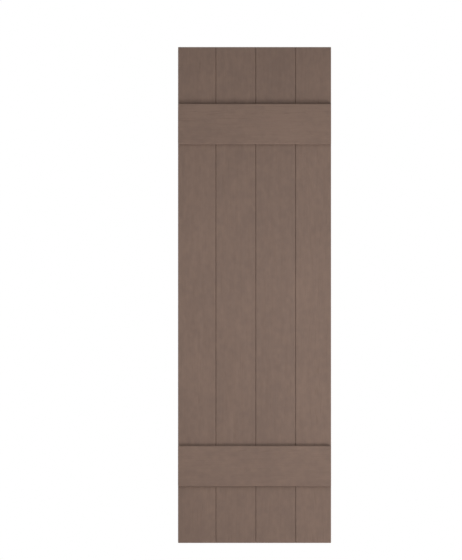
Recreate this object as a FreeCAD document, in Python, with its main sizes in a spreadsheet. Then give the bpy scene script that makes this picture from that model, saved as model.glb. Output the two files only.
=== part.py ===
"""Board-and-batten window shutter: four boards lapped edge to edge under two battens.

Boards and battens are hollow-backed mouldings, each with a front skin, walls round its edge and
ribs or posts behind. X runs to the right seen from the front, Y towards the wall and Z up. The
origin is the middle of the back, on the plane that bears on the wall, so the front faces -Y.
All sizes are in millimetres and degrees.
"""

import FreeCAD
import Part
import Sketcher

import os

SHEET = "Sizes"
SIZES = {
    "shutter_height": 1193.8,
    "left_board_width": 90.8,
    "inner_board_width": 96.0,
    "right_board_width": 85.5,
    "board_depth": 16.0,
    "skin_thickness": 2.6,
    "wall_thickness": 2.4,
    "edge_radius": 1.6,
    "joint_gap": 0.4,
    "joint_chamfer": 1.0,
    "lip_thickness": 4.6,
    "lap_length": 6.0,
    "lap_thickness": 2.4,
    "lap_clearance": 0.8,
    "rib_pitch": 100.0,
    "rib_thickness": 2.0,
    "rib_setback": 2.0,
    "draft_angle": 1.5,
    "batten_height": 97.2,
    "batten_depth": 9.4,
    "batten_end_offset": 136.8,
    "batten_skin_thickness": 2.6,
    "batten_wall_thickness": 2.4,
    "batten_edge_radius": 1.6,
    "screw_spacing": 52.0,
    "boss_diameter": 12.0,
    "boss_height": 5.0,
    "post_diameter": 10.0,
    "screw_hole_diameter": 4.5,
    "pilot_diameter": 3.0,
    "pilot_depth": 6.0,
}
TOLERANCE = 0.01
ORIGIN = (-1, 1)


class Size:
    """A length that carries its number together with the spreadsheet formula it comes from."""

    def __init__(self, number, formula):
        self.number = number
        self.formula = formula

    def joined(self, sign, other, number):
        return Size(number, f"({self.formula} {sign} {as_size(other).formula})")

    def __add__(self, other):
        return self.joined("+", other, self.number + as_size(other).number)

    def __sub__(self, other):
        return self.joined("-", other, self.number - as_size(other).number)

    def __mul__(self, other):
        return self.joined("*", other, self.number * as_size(other).number)

    def __truediv__(self, other):
        return self.joined("/", other, self.number / as_size(other).number)

    def __neg__(self):
        return as_size(0) - self

    def rounded(self):
        return Size(round(self.number), f"round({self.formula})")


def as_size(value):
    return value if isinstance(value, Size) else Size(value, str(value))


def bind(thing, path, size):
    """Ties one property of a feature to the spreadsheet."""
    thing.setExpression(path, as_size(size).formula)


def make_sheet(doc):
    """Writes every driving dimension into the spreadsheet and returns them by name."""
    sheet = doc.addObject("Spreadsheet::Sheet", SHEET)
    for row, (name, number) in enumerate(SIZES.items(), 1):
        sheet.set(f"A{row}", name)
        sheet.set(f"B{row}", str(number))
        sheet.setAlias(f"B{row}", name)
    doc.recompute()
    return {name: Size(float(sheet.get(name)), f"{SHEET}.{name}") for name in SIZES}


# Sketch and feature helpers


def origin_part(body, role):
    """One of a body's own origin planes or axes."""
    return next(part for part in body.Origin.OriginFeatures if part.Role == role)


def new_sketch(body, name, plane, offset=None):
    """Empty sketch on an origin plane, moved along the plane's normal by offset."""
    sketch = body.newObject("Sketcher::SketchObject", name)
    sketch.AttachmentSupport = (origin_part(body, plane), [""])
    sketch.MapMode = "FlatFace"
    if offset is not None:
        bind(sketch, "AttachmentOffset.Base.z", offset)
    return sketch


def dimension(sketch, kind, elements, size):
    """Dimensional constraint whose value is tied to the spreadsheet."""
    index = sketch.addConstraint(Sketcher.Constraint(kind, *elements, as_size(size).number))
    bind(sketch, f"Constraints[{index}]", size)


def locate(sketch, geometry, point, across, along):
    """Fixes one point of a sketch element by its two distances from the sketch's origin."""
    dimension(sketch, "DistanceX", (*ORIGIN, geometry, point), across)
    dimension(sketch, "DistanceY", (*ORIGIN, geometry, point), along)


def draw_outline(sketch, corners):
    """Closed straight-sided outline through the corners, each a pair of sizes."""
    points = [FreeCAD.Vector(as_size(x).number, as_size(y).number, 0) for x, y in corners]
    count = len(points)
    for index, point in enumerate(points):
        sketch.addGeometry(Part.LineSegment(point, points[(index + 1) % count]))
    for index, (across, along) in enumerate(corners):
        sketch.addConstraint(Sketcher.Constraint("Coincident", index, 2, (index + 1) % count, 1))
        locate(sketch, index, 1, across, along)


def rectangle(left, right, low, high):
    """Corners of an upright rectangle, in order round it."""
    return [(left, low), (right, low), (right, high), (left, high)]


def draw_circles(sketch, places, diameter):
    """One circle at each place, all of one diameter."""
    for index, (across, along) in enumerate(places):
        centre = FreeCAD.Vector(across.number, along.number, 0)
        sketch.addGeometry(Part.Circle(centre, FreeCAD.Vector(0, 0, 1), diameter.number / 2))
        locate(sketch, index, 3, across, along)
        dimension(sketch, "Diameter", (index,), diameter)


def pad(body, name, sketch, length):
    """Adds the sketch's outline, raised along the sketch's normal."""
    feature = body.newObject("PartDesign::Pad", name)
    feature.Profile = sketch
    bind(feature, "Length", length)
    return feature


def pocket_forwards(body, name, sketch, depth, draft=None):
    """Cuts from the back towards the front, the hollow narrowing by the draft angle."""
    feature = body.newObject("PartDesign::Pocket", name)
    feature.Profile = sketch
    feature.Reversed = True
    bind(feature, "Length", depth)
    if draft is not None:
        bind(feature, "TaperAngle", -draft)
    return feature


def round_edges(body, name, base, wanted, radius):
    """Rounds every edge of the base feature whose bounding box passes the test."""
    body.Document.recompute()
    names = [f"Edge{n}" for n, edge in enumerate(base.Shape.Edges, 1) if wanted(edge.BoundBox)]
    feature = body.newObject("PartDesign::Fillet", name)
    feature.Base = (base, names)
    bind(feature, "Radius", radius)
    return feature


def near(value, target):
    return abs(value - target) < TOLERANCE


# Boards


def board_outline(size, width, lapped_left, lapped_right):
    """Cross-section of a board: a lip on the left over the neighbour's flange, a flange on the right.

    A side that is not lapped is the shutter's own outer side, and is plain.
    """
    front = -size["board_depth"]
    lip_under = front + size["lip_thickness"]
    half_gap = size["joint_gap"] / 2
    chamfer = size["joint_chamfer"]
    flange_end = width + size["lap_length"]
    left = [(as_size(0), as_size(0)), (as_size(0), front)]
    right = [(width, front), (width, as_size(0))]
    if lapped_left:
        wall = size["lap_length"] + size["lap_clearance"]
        left = [
            (wall, as_size(0)),
            (wall, lip_under),
            (half_gap, lip_under),
            (half_gap, front + chamfer),
            (half_gap + chamfer, front),
        ]
    if lapped_right:
        wall = width - half_gap
        right = [
            (wall - chamfer, front),
            (wall, front + chamfer),
            (wall, lip_under),
            (flange_end, lip_under),
            (flange_end, lip_under + size["lap_thickness"]),
            (wall, lip_under + size["lap_thickness"]),
            (wall, as_size(0)),
        ]
    return left + right


def hollow_sides(size, width, lapped_left, lapped_right):
    """Inner faces of a board's two long walls."""
    left = size["wall_thickness"]
    right = width - size["wall_thickness"]
    if lapped_left:
        left = left + size["lap_length"] + size["lap_clearance"]
    if lapped_right:
        right = right - size["joint_gap"] / 2
    return left, right


def batten_centre(size):
    """Height of the upper batten's centre line above the middle of the shutter."""
    return size["shutter_height"] / 2 - size["batten_end_offset"] - size["batten_height"] / 2


def screw_heights(size, centre):
    """Heights of the two screws that hold a batten to a board."""
    return [centre - size["screw_spacing"] / 2, centre + size["screw_spacing"] / 2]


def make_board(doc, size, label, left_edge, width, lapped_left, lapped_right):
    """One hollow-backed board, with its left joint line at left_edge."""
    body = doc.addObject("PartDesign::Body", label)
    body.Label = label
    half_height = size["shutter_height"] / 2

    outline = new_sketch(body, f"{label}_outline", "XY_Plane")
    draw_outline(outline, board_outline(size, width, lapped_left, lapped_right))
    board = pad(body, f"{label}_length", outline, size["shutter_height"])
    board.Midplane = True

    def on_rounded_edge(box):
        front = near(box.YMax, -size["board_depth"].number)
        end = box.ZLength < TOLERANCE and near(abs(box.ZMin), half_height.number)
        left_side = not lapped_left and near(box.XMax, 0)
        right_side = not lapped_right and near(box.XMin, width.number)
        return front + end + (left_side or right_side) >= 2

    round_edges(body, f"{label}_edges", board, on_rounded_edge, size["edge_radius"])

    left, right = hollow_sides(size, width, lapped_left, lapped_right)
    low = -half_height + size["wall_thickness"]
    high = half_height - size["wall_thickness"]
    recess = new_sketch(body, f"{label}_recess", "XZ_Plane")
    draw_outline(recess, rectangle(left, right, low, high))
    pocket_forwards(body, f"{label}_rib_setback", recess, size["rib_setback"])

    cell_count = (size["shutter_height"] / size["rib_pitch"]).rounded()
    cell_step = (high - low + size["rib_thickness"]) / cell_count
    cell = new_sketch(body, f"{label}_cell", "XZ_Plane")
    cell_top = low + cell_step - size["rib_thickness"]
    draw_outline(cell, rectangle(left, right, low, cell_top))
    cell_depth = size["board_depth"] - size["skin_thickness"]
    first_cell = pocket_forwards(body, f"{label}_first_cell", cell, cell_depth, size["draft_angle"])
    cells = body.newObject("PartDesign::LinearPattern", f"{label}_cells")
    cells.Originals = [first_cell]
    cells.Direction = (origin_part(body, "Z_Axis"), [""])
    bind(cells, "Length", cell_step * (cell_count - 1))
    bind(cells, "Occurrences", cell_count)
    body.Tip = cells

    boss_back = cell_depth - size["boss_height"]
    boss = new_sketch(body, f"{label}_boss", "XZ_Plane", boss_back)
    places = [(width / 2, height) for height in screw_heights(size, batten_centre(size))]
    draw_circles(boss, places, size["boss_diameter"])
    boss_length = size["boss_height"] + size["skin_thickness"] / 2
    upper_bosses = pad(body, f"{label}_upper_bosses", boss, boss_length)
    hole = new_sketch(body, f"{label}_hole", "XZ_Plane")
    draw_circles(hole, places, size["screw_hole_diameter"])
    upper_holes = pocket_forwards(body, f"{label}_upper_holes", hole, size["board_depth"])
    bosses = body.newObject("PartDesign::Mirrored", f"{label}_bosses")
    bosses.Originals = [upper_bosses, upper_holes]
    bosses.MirrorPlane = (origin_part(body, "XY_Plane"), [""])
    body.Tip = bosses

    bind(body, "Placement.Base.x", left_edge)
    return body


# Battens


def make_batten(doc, size, label, half_width, board_centres, centre):
    """One hollow-backed batten across all the boards, with a screw post over each board boss."""
    body = doc.addObject("PartDesign::Body", label)
    body.Label = label
    half_height = size["batten_height"] / 2

    outline = new_sketch(body, f"{label}_outline", "XZ_Plane")
    draw_outline(outline, rectangle(-half_width, half_width, -half_height, half_height))
    block = pad(body, f"{label}_block", outline, size["batten_depth"])

    def on_rounded_edge(box):
        return not near(box.YMax, 0) or box.YLength > TOLERANCE

    round_edges(body, f"{label}_edges", block, on_rounded_edge, size["batten_edge_radius"])

    wall = size["batten_wall_thickness"]
    hollow = new_sketch(body, f"{label}_hollow", "XZ_Plane")
    inner_width = half_width - wall
    inner_height = half_height - wall
    draw_outline(hollow, rectangle(-inner_width, inner_width, -inner_height, inner_height))
    hollow_depth = size["batten_depth"] - size["batten_skin_thickness"]
    pocket_forwards(body, f"{label}_inside", hollow, hollow_depth, size["draft_angle"])

    post = new_sketch(body, f"{label}_post", "XZ_Plane")
    heights = screw_heights(size, as_size(0))
    places = [(across, height) for across in board_centres for height in heights]
    draw_circles(post, places, size["post_diameter"])
    pad(body, f"{label}_posts", post, hollow_depth + size["batten_skin_thickness"] / 2)
    pilot = new_sketch(body, f"{label}_pilot", "XZ_Plane")
    draw_circles(pilot, places, size["pilot_diameter"])
    pocket_forwards(body, f"{label}_pilots", pilot, size["pilot_depth"])

    bind(body, "Placement.Base.y", -size["board_depth"])
    bind(body, "Placement.Base.z", centre)
    return body


# Whole shutter


def make_shutter(doc, size):
    """All the pieces of the shutter, boards from left to right and then the battens."""
    boards = [
        ("left_board", size["left_board_width"]),
        ("left_middle_board", size["inner_board_width"]),
        ("right_middle_board", size["inner_board_width"]),
        ("right_board", size["right_board_width"]),
    ]
    half_width = sum((width for label, width in boards), as_size(0)) / 2
    edge = -half_width
    pieces = []
    board_centres = []
    for index, (label, width) in enumerate(boards):
        lapped_left = index > 0
        lapped_right = index < len(boards) - 1
        pieces.append(make_board(doc, size, label, edge, width, lapped_left, lapped_right))
        board_centres.append(edge + width / 2)
        edge = edge + width
    centre = batten_centre(size)
    pieces.append(make_batten(doc, size, "upper_batten", half_width, board_centres, centre))
    pieces.append(make_batten(doc, size, "lower_batten", half_width, board_centres, -centre))
    return pieces


def check(doc, pieces):
    """Stops if any feature failed or any piece is not one sound solid."""
    for thing in doc.Objects:
        if "Invalid" in thing.State or "Error" in thing.State:
            raise RuntimeError(f"{thing.Label} failed: {thing.State}")
    for piece in pieces:
        if piece.Shape.isNull() or not piece.Shape.isValid() or len(piece.Shape.Solids) != 1:
            raise RuntimeError(f"{piece.Label} is not one sound solid")


def main():
    doc = FreeCAD.newDocument("board_and_batten_shutter")
    size = make_sheet(doc)
    pieces = make_shutter(doc, size)
    doc.recompute()
    check(doc, pieces)
    os.makedirs("parts", exist_ok=True)
    for piece in pieces:
        piece.Shape.exportStep(f"parts/{piece.Label}.step")


main()
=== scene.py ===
"""Looks, light and camera for a board-and-batten window shutter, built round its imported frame.

Boards and battens are moulded trays: one closed outline, in the plane across the piece, is carried
along the piece's length. All lengths are in metres. X is to the right seen from the front, Y towards
the wall and Z up, so the front faces -Y.
"""

import math

import bmesh
import bpy
import numpy as np
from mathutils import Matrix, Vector


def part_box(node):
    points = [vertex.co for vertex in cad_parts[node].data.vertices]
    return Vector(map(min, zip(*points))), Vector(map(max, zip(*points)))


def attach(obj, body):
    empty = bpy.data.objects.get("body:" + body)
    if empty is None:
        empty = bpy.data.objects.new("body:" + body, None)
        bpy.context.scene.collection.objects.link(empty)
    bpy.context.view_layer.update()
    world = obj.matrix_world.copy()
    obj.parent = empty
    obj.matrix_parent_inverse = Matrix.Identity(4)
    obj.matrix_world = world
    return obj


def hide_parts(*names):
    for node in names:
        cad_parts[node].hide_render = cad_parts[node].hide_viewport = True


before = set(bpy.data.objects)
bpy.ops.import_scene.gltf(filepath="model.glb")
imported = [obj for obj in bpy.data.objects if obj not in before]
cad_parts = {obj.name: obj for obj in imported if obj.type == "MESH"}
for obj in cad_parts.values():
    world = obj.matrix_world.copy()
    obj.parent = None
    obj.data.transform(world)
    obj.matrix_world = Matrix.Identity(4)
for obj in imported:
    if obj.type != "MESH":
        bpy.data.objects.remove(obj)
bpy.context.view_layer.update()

MM = 0.001
BODY = "root"
BOARDS = ("left_board", "left_middle_board", "right_middle_board", "right_board")
BATTENS = ("upper_batten", "lower_batten")

# Sizes of the mouldings
SKIN = 2.6 * MM
WALL = 2.4 * MM
EDGE_RADIUS = 1.6 * MM
DRAFT = math.tan(math.radians(1.5))
JOINT_GAP = 0.4 * MM
JOINT_CHAMFER = 1.0 * MM
LIP = 4.6 * MM
LAP_LENGTH = 6.0 * MM
LAP_THICKNESS = 2.4 * MM
LAP_CLEARANCE = 0.8 * MM
RIB_PITCH = 100.0 * MM
RIB = 2.0 * MM
RIB_SETBACK = 2.0 * MM
SCREW_SPACING = 52.0 * MM
SLEEVE_ROOT = SKIN / 4
BOSS_RADIUS = 6.0 * MM
BOSS_HEIGHT = 5.0 * MM
POST_RADIUS = 5.0 * MM
SCREW_HOLE_RADIUS = 2.25 * MM
PILOT_RADIUS = 1.5 * MM
SCREW_HEAD_RADIUS = 4.0 * MM
SCREW_HEAD_HEIGHT = 2.4 * MM
SCREW_RECESS_DEPTH = 1.3 * MM

# Cross recess of a screw and the grid lines of its head, as shares of the head's radius
RECESS_HALF_WIDTH = 0.14
RECESS_HALF_LENGTH = 0.56
RECESS_FLANK = 0.06
HEAD_LINE_BETWEEN = 0.36
HEAD_LINES_OUTSIDE = (0.75, 0.88, 1)

# Fineness of the meshes
ACROSS_STEP = 0.9 * MM
ALONG_STEP = 5.0 * MM
LEAST_STEP = 0.05 * MM
ARC_STEPS = 5
ROUND_STEPS = 32
EASE_STEPS = 3
EASE_SHARP = 0.15 * MM
EASE_RIM = 0.3 * MM
EASE_CHAMFER = 0.35 * MM
EASE_FOOT = 0.6 * MM
SMOOTH_ANGLE = math.radians(32)
WELD_DISTANCE = 1e-6

# Wood grain pressed into the meshes, with cells as lengths across and along the grain
GRAIN_SEED = 47
GRAIN_DEPTH = 0.14 * MM
GRAIN_FADE = 2.5 * MM
WANDER = 3.2 * MM
WANDER_CELL = (24 * MM, 160 * MM)
TRUNK_LEAN = (0.018, 0.03)
HEART_DEPTH = 9 * MM
RING_WIDTH = (9 * MM, 12 * MM)
RING_SHARPNESS = 3
RING_SHARE = 0.3
PORE_CELL = (2.4 * MM, 70 * MM)
PORE_CUT = (0.2, 1.3)

# Finer grain in the finish, with noise in repeats a metre along X, Y and Z
FINE_GRAIN_DEPTH = 0.15 * MM
FINE_GRAIN_STRENGTH = 0.5
LINES_PER_RING = 5
LINE_EDGE = (0.05, 0.2)
WAVER = 3
WAVER_NOISE = (90, 90, 5)
DASH_NOISE = (220, 220, 12)
DASH_CUT = (0.45, 0.6)
FINE_PORE_NOISE = (900, 900, 30)
FINE_PORE_CUT = (0.52, 0.72)
FINE_PORE_DEPTH = 0.5
STIPPLE_NOISE = (1500, 1500, 1100)
STIPPLE_DEPTH = 0.3

# Colours, in linear light, and how far each piece lies between dark and light. The sunk colour is painted
# shade in the sunk lines of the grain.
VINYL_DARK = (0.176, 0.119, 0.0938, 1)
VINYL_LIGHT = (0.212, 0.142, 0.1095, 1)
VINYL_SUNK_SHADE = (0.155, 0.103, 0.080, 1)
# The tones are partly painted light: whole pieces are lightened or darkened to make up for the lamps
# falling on them unevenly.
BOARD_TONES_AND_LIGHT = (0.03, -0.10, -0.22, 0.0)
BATTEN_TONES_AND_LIGHT = (0.31, -0.03)
SUNK_SHADE_SHARE = 0.4
ZINC_DARK = (0.50, 0.50, 0.51, 1)
ZINC_LIGHT = (0.62, 0.62, 0.63, 1)
FLOOR_COLOUR = (0.8, 0.8, 0.8, 1)
WHITE = (1, 1, 1, 1)

# Unevenness of the colours, with noise in repeats a metre along X, Y and Z
BROAD_NOISE = (14, 14, 8)
BROAD_SHARE = 0.45
PATCH_NOISE = (100, 100, 62)
ZINC_NOISE = (800, 800, 800)
NOISE_RANGE = (0.3, 0.7)

# Polish of the vinyl, of the sunk lines in its grain, of the zinc and of the floor
VINYL_ROUGHNESS = 0.6
VINYL_SPECULAR = 0.25
SUNK_ROUGHNESS = 0.74
ZINC_ROUGHNESS = (0.3, 0.48)
FLOOR_ROUGHNESS = 0.9

# Stage, ambient light and framing
FLOOR_HEIGHT = -1.5
FLOOR_REACH = 8.0
FLOOR_LIFT = 0.82
AMBIENT = 0.37
AMBIENT_LEAN = (0, 0, -0.8)
LENS = 300
SENSOR = 36
CAMERA_REACH = 100
IMAGE_HEIGHT = 560
METRES_PER_PIXEL = 2.407 * MM
PIXELS_RIGHT = 23.56
PIXELS_DOWN = 15.03


# Mesh helpers


def make_piece(name, points, faces, **marks):
    """Closed mesh object from points and faces, with touching points welded and creases kept sharp.

    Each mark is a number for every point, kept on the mesh under its name for the finish to read.
    """
    mesh = bpy.data.meshes.new(name)
    mesh.from_pydata(points.tolist(), [], faces)
    for mark, values in marks.items():
        mesh.attributes.new(mark, "FLOAT", "POINT").data.foreach_set("value", values)
    work = bmesh.new()
    work.from_mesh(mesh)
    bmesh.ops.remove_doubles(work, verts=work.verts, dist=WELD_DISTANCE)
    work.to_mesh(mesh)
    work.free()
    mesh.shade_smooth()
    mesh.set_sharp_from_angle(angle=SMOOTH_ANGLE)
    piece = bpy.data.objects.new(name, mesh)
    bpy.context.scene.collection.objects.link(piece)
    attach(piece, BODY)
    return piece


def tube_faces(rows, columns, first=0, close_rows=False):
    """Quads between each row of points and the next, round a closed ring of columns."""
    index = first + np.arange(rows * columns).reshape(rows, columns)
    following = np.roll(index, -1, axis=1)
    upper = np.roll(index, -1, axis=0)
    upper_following = np.roll(following, -1, axis=0)
    quads = np.stack([index, following, upper_following, upper], axis=-1)
    if not close_rows:
        quads = quads[:-1]
    return quads.reshape(-1, 4).tolist()


def eased(corners, easing):
    """Outline along the corners, with each corner but the first and last replaced by a parabola.

    The parabola leaves the two sides of its corner at the easing length, and has the corner itself
    as its control point. The first and last corners only give the outline's direction there.
    """
    corners = np.asarray(corners, float)
    middle = corners[1:-1]
    before = corners[:-2] - middle
    after = corners[2:] - middle
    length = np.asarray(easing, float)[:, None]
    start = middle + before / np.linalg.norm(before, axis=1, keepdims=True) * length
    end = middle + after / np.linalg.norm(after, axis=1, keepdims=True) * length
    t = np.linspace(0, 1, EASE_STEPS + 1)[None, :, None]
    curve = (1 - t) ** 2 * start[:, None] + 2 * t * (1 - t) * middle[:, None] + t ** 2 * end[:, None]
    return curve.reshape(-1, 2)


def smooth_noise(draw, across, along, cell_across, cell_along):
    """Value noise: random heights on a lattice of cells, blended by the cubic 3t^2 - 2t^3."""
    u = (across - across.min()) / cell_across
    v = (along - along.min()) / cell_along
    i = np.floor(u).astype(int)
    j = np.floor(v).astype(int)
    lattice = draw.standard_normal((i.max() + 2, j.max() + 2))
    fu = u - i
    fv = v - j
    fu = fu * fu * (3 - 2 * fu)
    fv = fv * fv * (3 - 2 * fv)
    low = lattice[i, j] * (1 - fu) + lattice[i + 1, j] * fu
    high = lattice[i, j + 1] * (1 - fu) + lattice[i + 1, j + 1] * fu
    return low * (1 - fv) + high * fv


def smooth_step(value, low, high):
    """0 below low, 1 above high, and 3t^2 - 2t^3 between."""
    t = np.clip((value - low) / (high - low), 0, 1)
    return t * t * (3 - 2 * t)


# Pressed grain


def pressed_grain(draw, across, along):
    """Depth of the wood grain pressed into a front face, and the count of growth rings there.

    Growth rings are distances from the heart of a leaning trunk, so the face cuts them in long
    arches. Pores are value noise drawn out along the grain and cut off below a threshold. The depth
    goes from 0 to GRAIN_DEPTH.
    """
    wander = smooth_noise(draw, across, along, *WANDER_CELL) * WANDER
    heart = draw.uniform(-0.5, 0.5) * np.ptp(across) + across.mean()
    lean = draw.uniform(*TRUNK_LEAN) * draw.choice([-1, 1])
    tip = draw.uniform(-0.5, 0.5) * np.ptp(along) + along.mean()
    trunk = np.hypot(across + wander - heart, HEART_DEPTH + lean * (along - tip))
    growth = trunk / draw.uniform(*RING_WIDTH)
    rings = 0.5 + 0.5 * np.cos(2 * np.pi * growth)
    pores = smooth_step(smooth_noise(draw, across + wander, along, *PORE_CELL), *PORE_CUT)
    return GRAIN_DEPTH * (RING_SHARE * rings ** RING_SHARPNESS + (1 - RING_SHARE) * pores), growth


# Outlines across a moulding: rows of (across, depth, outward across, outward depth)


def with_outward(points, outward):
    """Points of an outline, each followed by the same outward direction."""
    return np.hstack([points, np.broadcast_to(outward, points.shape)])


def plain_side(edge, sign, depth):
    """Outer side from the front to the rim: a quarter circle, then straight back to an eased rim."""
    turn = np.linspace(0, np.pi / 2, ARC_STEPS + 1)
    outward = np.stack([sign * np.sin(turn), -np.cos(turn)], axis=1)
    centre = np.array([edge - sign * EDGE_RADIUS, EDGE_RADIUS - depth])
    arc = np.hstack([centre + EDGE_RADIUS * outward, outward])
    rim = eased([(edge, -depth / 2), (edge, 0), (edge - sign * WALL, 0)], [EASE_RIM])
    return np.vstack([arc, with_outward(rim, (sign, 0))])


def flange_side(joint, depth):
    """Lapped right side: half of the V joint, then the flange that goes behind the next board."""
    wall = joint - JOINT_GAP / 2
    flange = joint + LAP_LENGTH
    front = -depth
    under = front + LIP
    corners = [
        (wall - 2 * JOINT_CHAMFER, front),
        (wall - JOINT_CHAMFER, front),
        (wall, front + JOINT_CHAMFER),
        (wall, under),
        (flange, under),
        (flange, under + LAP_THICKNESS),
        (wall, under + LAP_THICKNESS),
        (wall, 0),
        (wall - WALL, 0),
    ]
    easing = [EASE_CHAMFER] * 2 + [EASE_SHARP] + [EASE_RIM] * 2 + [EASE_SHARP, EASE_RIM]
    return fading_outward(eased(corners, easing), depth)


def lip_side(joint, depth):
    """Lapped left side, from the front to the rim: half of the V joint, then under the lip."""
    edge = joint + JOINT_GAP / 2
    wall = joint + LAP_LENGTH + LAP_CLEARANCE
    front = -depth
    under = front + LIP
    corners = [
        (edge + 2 * JOINT_CHAMFER, front),
        (edge + JOINT_CHAMFER, front),
        (edge, front + JOINT_CHAMFER),
        (edge, under),
        (wall, under),
        (wall, 0),
        (wall + WALL, 0),
    ]
    easing = [EASE_CHAMFER] * 2 + [EASE_RIM, EASE_SHARP, EASE_RIM]
    return fading_outward(eased(corners, easing), depth)


def fading_outward(points, depth):
    """Outward direction of a lapped side: forwards at the front face, fading out down the chamfer."""
    forwards = np.clip(1 - (points[:, 1] + depth) / JOINT_CHAMFER, 0, 1)
    return np.column_stack([points, np.zeros(len(points)), -forwards])


def hollow_outline(left, right, floor):
    """Inside of a tray from its right wall to its left wall, with drafted walls and eased corners."""
    taper = -floor * DRAFT
    corners = [
        (right + WALL, 0),
        (right, 0),
        (right - taper, floor),
        (left + taper, floor),
        (left, 0),
        (left - WALL, 0),
    ]
    return with_outward(eased(corners, [EASE_RIM, EASE_FOOT, EASE_FOOT, EASE_RIM]), (0, 0))


# Mouldings


def rib_heights(low, high, floor, ribbed):
    """Stations along a tray and the height of its inside there: end walls, ribs and floor between."""
    taper = -floor * DRAFT
    stations = [low, low + WALL, low + WALL + taper, high - WALL - taper, high - WALL, high]
    heights = [0, 0, floor, floor, 0, 0]
    if ribbed:
        count = round((high - low) / RIB_PITCH)
        step = (high - low - 2 * WALL + RIB) / count
        tops = low + WALL + step * np.arange(1, count) - RIB / 2
        across_rib = np.array([-RIB / 2 - taper, -RIB / 2, RIB / 2, RIB / 2 + taper])
        stations = np.concatenate([stations, (tops[:, None] + across_rib).ravel()])
        heights = np.concatenate([heights, np.tile([floor, -RIB_SETBACK, -RIB_SETBACK, floor], count - 1)])
    order = np.argsort(stations)
    return np.asarray(stations)[order], np.asarray(heights)[order]


def station_rows(low, high, stations):
    """Places along a moulding for its rows of points: even steps, every station and the rounded ends."""
    even = np.linspace(low, high, round((high - low) / ALONG_STEP) + 1)
    turn = EDGE_RADIUS * (1 - np.sin(np.linspace(0, np.pi / 2, ARC_STEPS + 1)))
    rows = np.sort(np.concatenate([stations, low + turn, high - turn, even]))
    return rows[np.diff(rows, prepend=-np.inf) > LEAST_STEP]


def moulding(front, right_side, left_side, hollow, low, high, floor, ribbed, draw):
    """Points, faces and marks of a hollow-backed moulding that runs from low to high.

    The outline is the front, right side, hollow and left side in turn. Along the ends it draws in by
    r - sqrt(r^2 - t^2) against its outward direction, which rounds the edges and corners as a ball
    of the edge radius would. The hollow is lifted to the height of the ribs and end walls, and the
    front sinks by the depth of the pressed grain. The marks are grained, 1 on the open front and 0
    off it, and growth, the count of growth rings at each point.
    """
    outline = np.vstack([front, right_side, hollow, left_side[::-1]])
    stations, heights = rib_heights(low, high, floor, ribbed)
    rows = station_rows(low, high, stations)
    beyond = np.clip(np.abs(rows - (low + high) / 2) - ((high - low) / 2 - EDGE_RADIUS), 0, EDGE_RADIUS)
    inset = EDGE_RADIUS - np.sqrt(EDGE_RADIUS ** 2 - beyond ** 2)
    across = outline[:, 0] - outline[:, 2] * inset[:, None]
    depth = outline[:, 1] - outline[:, 3] * inset[:, None]
    along = np.broadcast_to(rows[:, None], across.shape)

    hollow_first = len(front) + len(right_side)
    in_hollow = slice(hollow_first, hollow_first + len(hollow))
    lifted = np.interp(rows, stations, heights)
    depth[:, in_hollow] = np.maximum(depth[:, in_hollow], lifted[:, None])

    face = slice(0, len(front))
    from_side = np.minimum(front[:, 0] - left_side[0, 0], right_side[0, 0] - front[:, 0])
    from_end = np.minimum(rows - low, high - rows)
    fade = smooth_step(from_side, 0, GRAIN_FADE) * smooth_step(from_end[:, None], EDGE_RADIUS, GRAIN_FADE)
    grain_depth, growth = pressed_grain(draw, across, along)
    depth[:, face] += fade * grain_depth[:, face]
    grained = np.zeros(across.shape)
    grained[:, face] = fade
    marks = {"grained": grained.ravel(), "growth": growth.ravel()}
    points = np.stack([across, depth, along], axis=-1)
    columns = len(outline)
    faces = tube_faces(len(rows), columns)
    last = (len(rows) - 1) * columns
    faces.append(list(range(last, last + columns)))
    faces.append(list(range(columns))[::-1])
    return points.reshape(-1, 3), faces, marks


def front_columns(left_side, right_side, depth):
    """Even columns across the flat front between two sides, facing forwards."""
    left = left_side[0, 0]
    right = right_side[0, 0]
    across = np.linspace(left, right, round((right - left) / ACROSS_STEP) + 1)[1:-1]
    flat = np.column_stack([across, np.full(len(across), -depth)])
    return with_outward(flat, (0, -1))


def sleeves(centres, radius, hole, base, top, first):
    """Closed rings round the Y axis, one at each centre (x, z): a profile carried round a circle."""
    profile = np.array([
        (radius + (top - base) * DRAFT, base),
        (radius, top - EASE_RIM),
        (radius - EASE_RIM, top),
        (hole + EASE_RIM, top),
        (hole, top - EASE_RIM),
        (hole, base),
    ])
    turn = np.linspace(0, 2 * np.pi, ROUND_STEPS, endpoint=False)
    ring_x = np.cos(turn)[:, None] * profile[:, 0]
    ring_z = np.sin(turn)[:, None] * profile[:, 0]
    ring_y = np.broadcast_to(profile[:, 1], ring_x.shape)
    shapes = np.stack([ring_x, ring_y, ring_z], axis=-1)
    places = np.column_stack([centres[:, 0], np.zeros(len(centres)), centres[:, 1]])
    points = shapes[None] + places[:, None, None]
    rows, columns = ring_x.shape
    starts = first + rows * columns * np.arange(len(centres))
    faces = [face for start in starts for face in tube_faces(rows, columns, start, close_rows=True)]
    return points.reshape(-1, 3), faces


# Pieces of the shutter


def with_plain_points(marks, count, tone):
    """Marks of a moulding with 0 for the points added to it, and one tone for all of its points."""
    marks = {name: np.append(values, np.zeros(count)) for name, values in marks.items()}
    marks["tone"] = np.full(len(marks["grained"]), tone)
    return marks


def joint_lines():
    """Left outer edge, the joints between the boards and the right outer edge, as values of X."""
    lows = [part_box(node)[0].x - JOINT_GAP / 2 for node in BOARDS[1:]]
    return [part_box(BOARDS[0])[0].x, *lows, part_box(BOARDS[-1])[1].x]


def screw_places(lines, battens):
    """Centres (x, z) of the screws: two at each batten, in the middle of each board between the lines."""
    middles = (np.array(lines[:-1]) + np.array(lines[1:])) / 2
    heights = np.array([(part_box(node)[0].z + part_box(node)[1].z) / 2 for node in battens])
    pairs = heights[:, None] + np.array([-SCREW_SPACING / 2, SCREW_SPACING / 2])
    x, z = np.meshgrid(middles, pairs)
    return np.column_stack([x.ravel(), z.ravel()])


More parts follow.
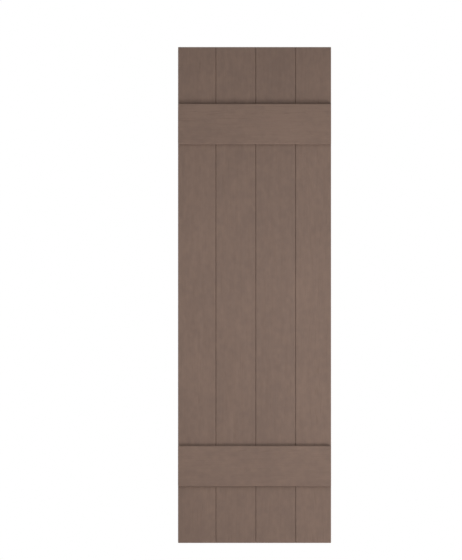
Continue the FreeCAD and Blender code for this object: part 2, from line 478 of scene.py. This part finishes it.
def make_board(node, left, right, number):
    """One upright board with a pressed front, lapped sides, ribs and screw bosses behind."""
    low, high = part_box(node)
    depth = high.y - low.y
    floor = SKIN - depth
    first = number == 0
    last = number == len(BOARDS) - 1
    left_side = plain_side(left, -1, depth) if first else lip_side(left, depth)
    right_side = plain_side(right, 1, depth) if last else flange_side(right, depth)
    hollow_left = left + WALL + (0 if first else LAP_LENGTH + LAP_CLEARANCE)
    hollow_right = right - WALL - (0 if last else JOINT_GAP / 2)
    draw = np.random.default_rng([GRAIN_SEED, number])
    points, faces, marks = moulding(
        front_columns(left_side, right_side, depth),
        right_side,
        left_side,
        hollow_outline(hollow_left, hollow_right, floor),
        low.z,
        high.z,
        floor,
        ribbed=True,
        draw=draw,
    )
    places = screw_places([left, right], BATTENS)
    boss_points, boss_faces = sleeves(
        places, BOSS_RADIUS, SCREW_HOLE_RADIUS, floor - SLEEVE_ROOT, floor + BOSS_HEIGHT, len(points)
    )
    marks = with_plain_points(marks, len(boss_points), BOARD_TONES_AND_LIGHT[number])
    board = make_piece(f"{node}_moulding", np.vstack([points, boss_points]), faces + boss_faces, **marks)
    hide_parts(node)
    return board


def make_batten(node, lines, number):
    """One level batten: the same kind of moulding, laid along X, with a post over each screw."""
    low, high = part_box(node)
    depth = high.y - low.y
    floor = SKIN - depth
    half_height = (high.z - low.z) / 2
    middle = (high.z + low.z) / 2
    left_side = plain_side(-half_height, -1, depth)
    right_side = plain_side(half_height, 1, depth)
    draw = np.random.default_rng([GRAIN_SEED, len(BOARDS) + number])
    points, faces, marks = moulding(
        front_columns(left_side, right_side, depth),
        right_side,
        left_side,
        hollow_outline(WALL - half_height, half_height - WALL, floor),
        low.x,
        high.x,
        floor,
        ribbed=False,
        draw=draw,
    )
    across, inwards, along = points.T
    points = np.column_stack([along, inwards, -across])
    places = screw_places(lines, [node]) - (0, middle)
    post_points, post_faces = sleeves(
        places, POST_RADIUS, PILOT_RADIUS, floor - SLEEVE_ROOT, 0, len(points)
    )
    points = np.vstack([points, post_points]) + (0, high.y, middle)
    marks = with_plain_points(marks, len(post_points), BATTEN_TONES_AND_LIGHT[number])
    batten = make_piece(f"{node}_moulding", points, faces + post_faces, **marks)
    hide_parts(node)
    return batten


def screw_head():
    """Points and faces of one pan head with a cross recess, its seat at y = 0 and its top towards +Y.

    A square grid of u and v from -1 to 1 is bent to a disc by x = u sqrt(1 - v^2 / 2) and
    z = v sqrt(1 - u^2 / 2). The height is h (1 - rho^4 / 2), less the recess: two crossing bars with
    sloping flanks. A skirt runs from the disc's rim down to the seat.
    """
    width = RECESS_HALF_WIDTH + RECESS_FLANK
    length = RECESS_HALF_LENGTH + RECESS_FLANK
    inside = [0, RECESS_HALF_WIDTH / 2, RECESS_HALF_WIDTH, width]
    half = np.array([*inside, HEAD_LINE_BETWEEN, RECESS_HALF_LENGTH, length, *HEAD_LINES_OUTSIDE])
    lines = np.concatenate([-half[:0:-1], half])
    u, v = np.meshgrid(lines, lines, indexing="ij")
    x = u * np.sqrt(1 - v * v / 2)
    z = v * np.sqrt(1 - u * u / 2)
    sides = smooth_step(width - np.abs(v), 0, RECESS_FLANK)
    ends = smooth_step(length - np.abs(u), 0, RECESS_FLANK)
    bar = sides * ends
    recess = np.maximum(bar, bar.T) * SCREW_RECESS_DEPTH
    y = SCREW_HEAD_HEIGHT * (1 - (x * x + z * z) ** 2 / 2) - recess
    top = np.stack([x * SCREW_HEAD_RADIUS, y, z * SCREW_HEAD_RADIUS], axis=-1)
    index = np.arange(u.size).reshape(u.shape)
    quads = np.stack([index[:-1, :-1], index[:-1, 1:], index[1:, 1:], index[1:, :-1]], axis=-1)
    rim = np.concatenate([index[:, 0], index[-1, 1:], index[-2::-1, -1], index[0, -2:0:-1]])
    seat = u.size + np.arange(len(rim))
    skirt = np.stack([rim, np.roll(rim, -1), np.roll(seat, -1), seat], axis=-1)
    points = top.reshape(-1, 3)
    points = np.vstack([points, points[rim] * (1, 0, 1)])
    faces = np.vstack([quads.reshape(-1, 4), skirt])
    return points, faces, seat


def make_screws(node, lines, number):
    """All the screws of one batten, each head turned at random on its boss."""
    seat_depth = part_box(BOARDS[0])[0].y + SKIN + BOSS_HEIGHT
    places = screw_places(lines, [node])
    draw = np.random.default_rng([GRAIN_SEED, len(BOARDS) + len(BATTENS) + number])
    turn = draw.uniform(0, 2 * np.pi, len(places))[:, None]
    head, faces, seat = screw_head()
    x = head[:, 0] * np.cos(turn) + head[:, 2] * np.sin(turn) + places[:, :1]
    z = head[:, 2] * np.cos(turn) - head[:, 0] * np.sin(turn) + places[:, 1:]
    y = np.broadcast_to(head[:, 1] + seat_depth, x.shape)
    starts = len(head) * np.arange(len(places))
    all_faces = (starts[:, None, None] + faces).reshape(-1, 4).tolist()
    all_faces += (starts[:, None] + seat).tolist()
    screws = make_piece(f"{node}_screws", np.stack([x, y, z], axis=-1).reshape(-1, 3), all_faces)
    return screws


# Finishes


def add(tree, kind, inputs=(), **settings):
    """New node with its settings, and its inputs joined to sockets or set to values."""
    node = tree.nodes.new(kind)
    for name, value in settings.items():
        setattr(node, name, value)
    for name, value in dict(inputs).items():
        if isinstance(value, bpy.types.NodeSocket):
            tree.links.new(value, node.inputs[name])
        else:
            node.inputs[name].default_value = value
    return node


def new_group(name, numbers, outputs):
    """Empty effect that reads a place on the surface and some numbers: its tree, inputs and outputs."""
    tree = bpy.data.node_groups.new(name, "ShaderNodeTree")
    tree.interface.new_socket("Vector", in_out="INPUT", socket_type="NodeSocketVector")
    for number in numbers:
        tree.interface.new_socket(number, in_out="INPUT", socket_type="NodeSocketFloat")
    for output in outputs:
        tree.interface.new_socket(output, in_out="OUTPUT", socket_type="NodeSocketFloat")
    return tree, tree.nodes.new("NodeGroupInput").outputs, tree.nodes.new("NodeGroupOutput").inputs


def stretched_noise(tree, place, scale, detail):
    """Noise whose grain size is set along each axis by scale, in repeats a metre."""
    mapped = add(tree, "ShaderNodeMapping", {"Vector": place, "Scale": scale})
    noise = add(tree, "ShaderNodeTexNoise", {"Vector": mapped.outputs[0], "Scale": 1, "Detail": detail})
    return noise.outputs[0]


def math_node(tree, operation, first, second):
    """Result of one operation on two values or sockets."""
    return add(tree, "ShaderNodeMath", {0: first, 1: second}, operation=operation).outputs[0]


def spread(tree, value, low, high, to_low=0.0, to_high=1.0):
    """Value carried from the range low to high on to another range, and held at its ends."""
    limits = {"Value": value, "From Min": low, "From Max": high, "To Min": to_low, "To Max": to_high}
    return add(tree, "ShaderNodeMapRange", limits).outputs[0]


def make_fine_grain():
    """Fine sunk lines that follow the growth rings, pores and a matt stipple, along the place's Z.

    The lines are a zigzag of the ring count, made uneven and broken into dashes by noise.
    """
    tree, given, result = new_group("fine_grain", ["Growth"], ["Height", "Sunk"])
    place = given["Vector"]
    phase = math_node(tree, "MULTIPLY", given["Growth"], LINES_PER_RING)
    waver = math_node(tree, "MULTIPLY", stretched_noise(tree, place, WAVER_NOISE, detail=2), WAVER)
    zigzag = math_node(tree, "PINGPONG", math_node(tree, "ADD", phase, waver), 0.5)
    dashes = spread(tree, stretched_noise(tree, place, DASH_NOISE, detail=2), *DASH_CUT)
    sunk_lines = math_node(tree, "MULTIPLY", spread(tree, zigzag, *LINE_EDGE, 1, 0), dashes)
    pore_noise = stretched_noise(tree, place, FINE_PORE_NOISE, detail=3)
    pores = spread(tree, pore_noise, *FINE_PORE_CUT, 0, FINE_PORE_DEPTH)
    sunk = math_node(tree, "MAXIMUM", sunk_lines, pores)
    stipple_noise = stretched_noise(tree, place, STIPPLE_NOISE, detail=2)
    stipple = math_node(tree, "MULTIPLY", stipple_noise, STIPPLE_DEPTH)
    tree.links.new(math_node(tree, "SUBTRACT", stipple, sunk), result["Height"])
    tree.links.new(sunk, result["Sunk"])
    return tree


def make_colour_drift():
    """Slow unevenness of a moulded-through colour, a little longer along the place's Z."""
    tree, given, result = new_group("colour_drift", [], ["Drift"])
    place = given["Vector"]
    broad_noise = stretched_noise(tree, place, BROAD_NOISE, detail=2)
    patch_noise = stretched_noise(tree, place, PATCH_NOISE, detail=1)
    broad = math_node(tree, "MULTIPLY", broad_noise, BROAD_SHARE)
    patches = math_node(tree, "MULTIPLY", patch_noise, 1 - BROAD_SHARE)
    tree.links.new(spread(tree, math_node(tree, "ADD", broad, patches), *NOISE_RANGE), result["Drift"])
    return tree


def new_finish(name):
    """Material with one Principled shader: the material, its tree and the shader's inputs."""
    finish = bpy.data.materials.new(name)
    finish.use_nodes = True
    tree = finish.node_tree
    return finish, tree, tree.nodes["Principled BSDF"].inputs


def surface_place(tree):
    """Place on the piece, in its own metres."""
    return tree.nodes.new("ShaderNodeTexCoord").outputs["Object"]


def mark_on_mesh(tree, name):
    """Number that the mesh holds at each point under a name."""
    return add(tree, "ShaderNodeAttribute", attribute_name=name).outputs["Fac"]


def mix_colours(tree, share, first, second):
    """Colour between the first at share 0 and the second at share 1."""
    return add(tree, "ShaderNodeMix", {0: share, 6: first, 7: second}, data_type="RGBA").outputs[2]


def make_vinyl(name, grain_turn, groups):
    """Matt brown moulded vinyl whose grain is turned to run along the piece, with painted shade in the
    sunk lines of its grain and a piece tone that is partly painted light.
    """
    finish, tree, shader = new_finish(name)
    mapping = {"Vector": surface_place(tree), "Rotation": grain_turn}
    turned = add(tree, "ShaderNodeMapping", mapping).outputs[0]
    grain = add(tree, "ShaderNodeGroup", node_tree=groups["fine_grain"])
    tree.links.new(turned, grain.inputs["Vector"])
    tree.links.new(mark_on_mesh(tree, "growth"), grain.inputs["Growth"])
    drift = add(tree, "ShaderNodeGroup", node_tree=groups["colour_drift"])
    tree.links.new(turned, drift.inputs["Vector"])

    grained = mark_on_mesh(tree, "grained")
    sunk = math_node(tree, "MULTIPLY", grain.outputs["Sunk"], grained)
    # The piece's tone is partly painted light, making up for uneven light from the lamps.
    share = math_node(tree, "ADD", drift.outputs["Drift"], mark_on_mesh(tree, "tone"))
    colour = mix_colours(tree, share, VINYL_DARK, VINYL_LIGHT)
    # The sunk lines of the grain are darkened with painted shade.
    sunk_shade_colour = mix_colours(tree, math_node(tree, "MULTIPLY", sunk, SUNK_SHADE_SHARE), colour, VINYL_SUNK_SHADE)
    height = math_node(tree, "MULTIPLY", grain.outputs["Height"], grained)
    relief = {"Height": height, "Strength": FINE_GRAIN_STRENGTH, "Distance": FINE_GRAIN_DEPTH}
    bump = add(tree, "ShaderNodeBump", relief)
    tree.links.new(sunk_shade_colour, shader["Base Color"])
    tree.links.new(spread(tree, sunk, 0, 1, VINYL_ROUGHNESS, SUNK_ROUGHNESS), shader["Roughness"])
    tree.links.new(bump.outputs[0], shader["Normal"])
    shader["Specular IOR Level"].default_value = VINYL_SPECULAR
    return finish


def make_zinc():
    """Bright zinc plate, a little uneven in tone and polish."""
    finish, tree, shader = new_finish("zinc_plate")
    tone = stretched_noise(tree, surface_place(tree), ZINC_NOISE, detail=2)
    tree.links.new(mix_colours(tree, tone, ZINC_DARK, ZINC_LIGHT), shader["Base Color"])
    tree.links.new(spread(tree, tone, *NOISE_RANGE, *ZINC_ROUGHNESS), shader["Roughness"])
    shader["Metallic"].default_value = 1.0
    return finish


# Stage, light and camera


def make_floor(height, reach, level):
    """Pale floor under the shutter, brought to white for the camera but still taking its shadow."""
    corners = [(-reach, -reach), (reach, -reach), (reach, reach), (-reach, reach)]
    mesh = bpy.data.meshes.new("floor")
    mesh.from_pydata([(x, y, height) for x, y in corners], [], [(0, 1, 2, 3)])
    floor = bpy.data.objects.new("floor", mesh)
    bpy.context.scene.collection.objects.link(floor)
    finish, tree, shader = new_finish("pale_floor")
    shader["Base Color"].default_value = FLOOR_COLOUR
    shader["Roughness"].default_value = FLOOR_ROUGHNESS
    shader["Emission Color"].default_value = WHITE
    seen = math_node(tree, "MULTIPLY", seen_directly(tree), level)
    tree.links.new(seen, shader["Emission Strength"])
    mesh.materials.append(finish)


def seen_directly(tree):
    """1 for rays from the camera, mirrors and glass, and 0 for the rays that light the object."""
    path = tree.nodes.new("ShaderNodeLightPath").outputs
    shiny = math_node(tree, "MAXIMUM", path["Is Glossy Ray"], path["Is Transmission Ray"])
    return math_node(tree, "MAXIMUM", path["Is Camera Ray"], shiny)


def make_world(ambient, lean):
    """White backdrop all round, which lights the object at the ambient level.

    The light changes by the dot product of its direction and lean, so it is softer from above and
    stronger from below.
    """
    world = bpy.data.worlds.new("studio")
    world.use_nodes = True
    tree = world.node_tree
    direction = tree.nodes.new("ShaderNodeTexCoord").outputs["Generated"]
    dot = add(tree, "ShaderNodeVectorMath", {0: direction, 1: lean}, operation="DOT_PRODUCT")
    level = math_node(tree, "MULTIPLY", math_node(tree, "ADD", dot.outputs["Value"], 1), ambient)
    background = tree.nodes["Background"]
    background.inputs["Color"].default_value = WHITE
    tree.links.new(math_node(tree, "MAXIMUM", seen_directly(tree), level), background.inputs["Strength"])
    bpy.context.scene.world = world


def add_lamp(name, place, width, height, watts):
    """Soft rectangular lamp at a place, turned towards the middle of the shutter."""
    light = bpy.data.lights.new(name, "AREA")
    light.shape = "RECTANGLE"
    light.size = width
    light.size_y = height
    light.energy = watts
    lamp = bpy.data.objects.new(name, light)
    lamp.location = place
    lamp.rotation_euler = (-Vector(place)).to_track_quat("-Z", "Y").to_euler()
    lamp.visible_camera = False
    bpy.context.scene.collection.objects.link(lamp)


def add_camera():
    """Level camera straight in front, with a long lens, framed by shift as the picture is."""
    focal_pixels = LENS / SENSOR * IMAGE_HEIGHT
    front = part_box(BOARDS[0])[0].y
    data = bpy.data.cameras.new("camera")
    data.lens = LENS
    data.sensor_width = SENSOR
    data.shift_x = -PIXELS_RIGHT / IMAGE_HEIGHT
    data.shift_y = PIXELS_DOWN / IMAGE_HEIGHT
    data.clip_end = CAMERA_REACH
    camera = bpy.data.objects.new("camera", data)
    camera.location = (0, front - METRES_PER_PIXEL * focal_pixels, 0)
    camera.rotation_euler = (math.pi / 2, 0, 0)
    bpy.context.scene.collection.objects.link(camera)
    bpy.context.scene.camera = camera


lines = joint_lines()
boards = [make_board(node, lines[n], lines[n + 1], n) for n, node in enumerate(BOARDS)]
battens = [make_batten(node, lines, n) for n, node in enumerate(BATTENS)]
screws = [make_screws(node, lines, n) for n, node in enumerate(BATTENS)]

groups = {"fine_grain": make_fine_grain(), "colour_drift": make_colour_drift()}
board_finish = make_vinyl("board_vinyl", (0, 0, 0), groups)
batten_finish = make_vinyl("batten_vinyl", (0, math.pi / 2, 0), groups)
screw_finish = make_zinc()
for pieces, finish in ((boards, board_finish), (battens, batten_finish), (screws, screw_finish)):
    for piece in pieces:
        piece.data.materials.append(finish)

make_floor(FLOOR_HEIGHT, FLOOR_REACH, FLOOR_LIFT)
make_world(AMBIENT, AMBIENT_LEAN)
add_lamp("low_key", place=(1.5, -1.4, -1.3), width=1.0, height=0.5, watts=29.5)
add_lamp("near_fill", place=(0.1, -0.9, 0.0), width=0.6, height=0.6, watts=2.8)
add_lamp("high_fill", place=(0.3, -1.6, 1.4), width=1.0, height=0.5, watts=4.8)
add_lamp("back_fill", place=(-1.5, 1.6, 1.1), width=1.5, height=1.5, watts=48)
add_camera()
bpy.context.scene.view_settings.view_transform = "Standard"
